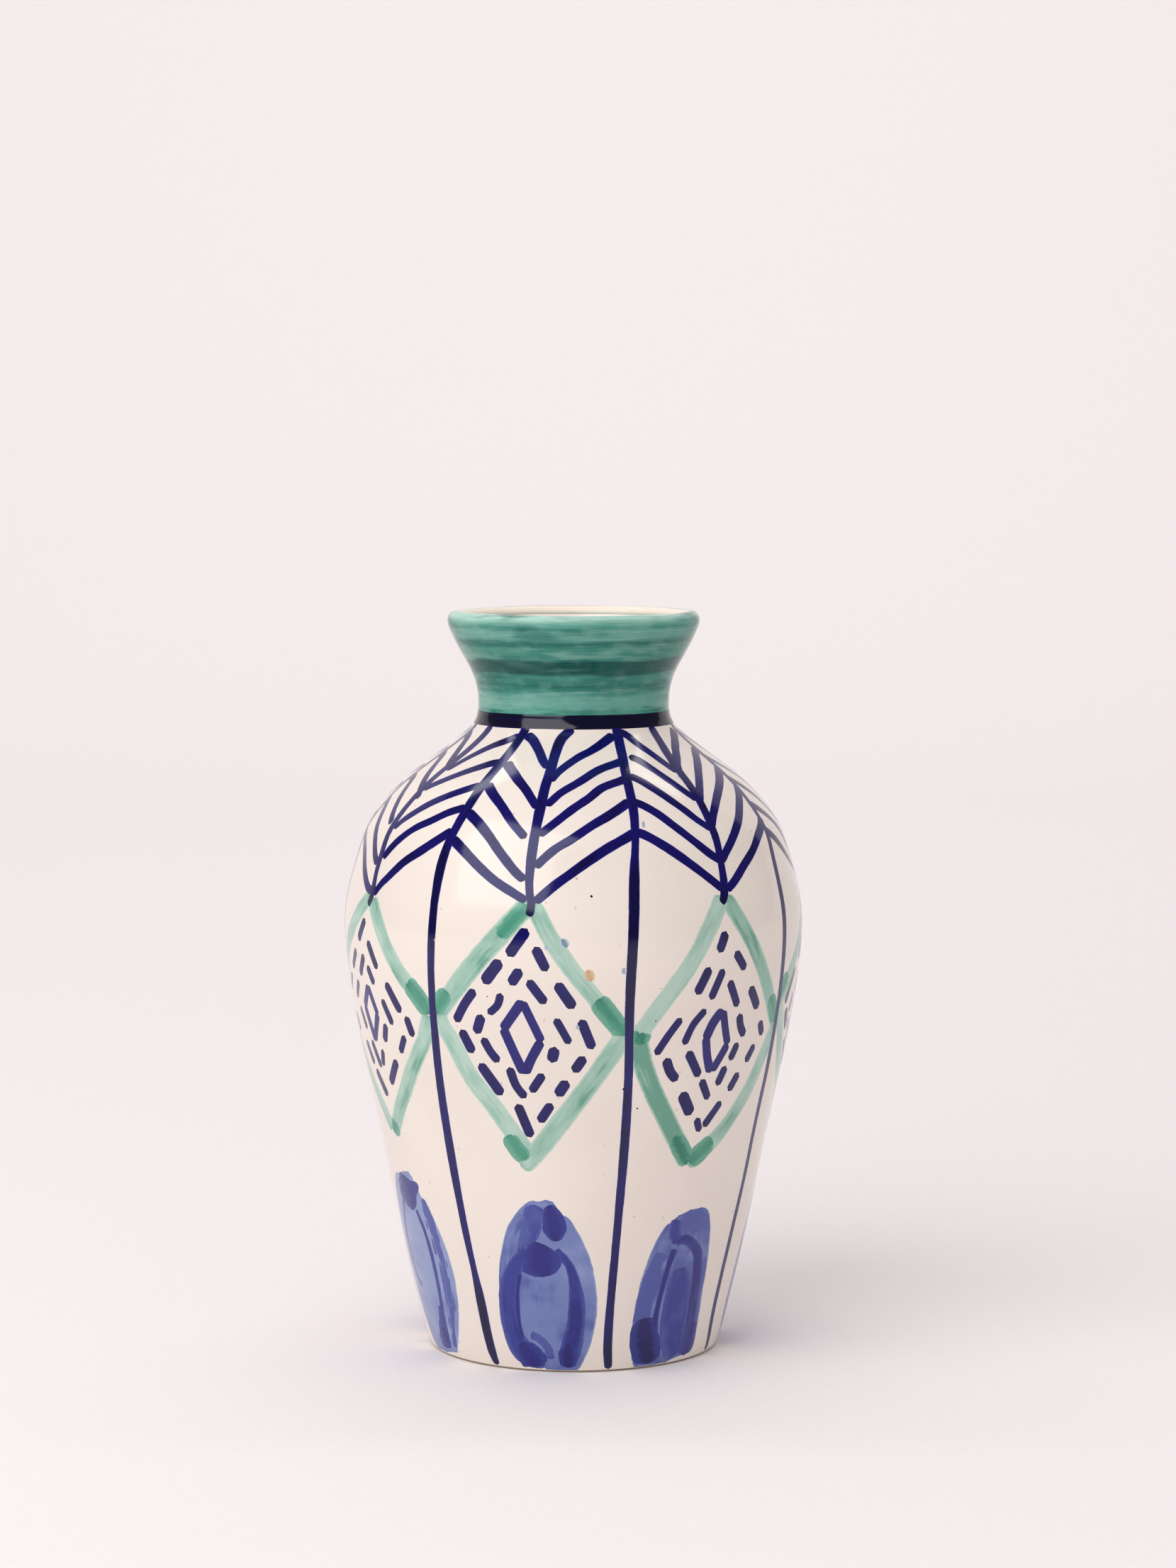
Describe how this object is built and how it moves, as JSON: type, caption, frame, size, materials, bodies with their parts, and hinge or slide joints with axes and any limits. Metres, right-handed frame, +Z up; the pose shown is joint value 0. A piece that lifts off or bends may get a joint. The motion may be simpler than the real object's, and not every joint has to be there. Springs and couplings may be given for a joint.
{
  "type": "hand-painted ceramic vase",
  "caption": "Round-shouldered ceramic vase with a flared green neck, cobalt herringbone shoulder, diamond panels and blue petals round the foot.",
  "frame": {"origin": "middle of the foot's resting face, at the bottom of the bounding box", "axes": "+Z up along the vase's axis, the front panel faces -Y, +X to its right"},
  "size_m": [0.1242, 0.1241, 0.2],
  "materials": {
    "bare_clay": "matt fired clay, seen at the foot ring",
    "liner_glaze": "glossy cream glaze",
    "cream_glaze": "glossy cream glaze with fine pinholes",
    "green_glaze": "glossy brushed green with horizontal streaks",
    "cobalt_band": "glossy near-black cobalt",
    "cobalt_lines": "glossy dark cobalt brush lines",
    "frame_green": "glossy thin green wash, darker where strokes overlap",
    "heart_blue": "glossy cobalt brush line, thinner and paler",
    "petal_blue": "glossy thin blue wash in overlapping strokes"
  },
  "bodies": {
    "root": {"clay_body": "bare_clay", "inner_glaze": "liner_glaze", "outer_glaze": "cream_glaze", "neck_glaze": "green_glaze", "neck_band": "cobalt_band", "shoulder_chevrons": "cobalt_lines", "stem_lines": "cobalt_lines", "diamond_frames": "frame_green", "diamond_dashes": "cobalt_lines", "diamond_hearts": "heart_blue", "base_petals": "petal_blue"}
  },
  "joints": []
}
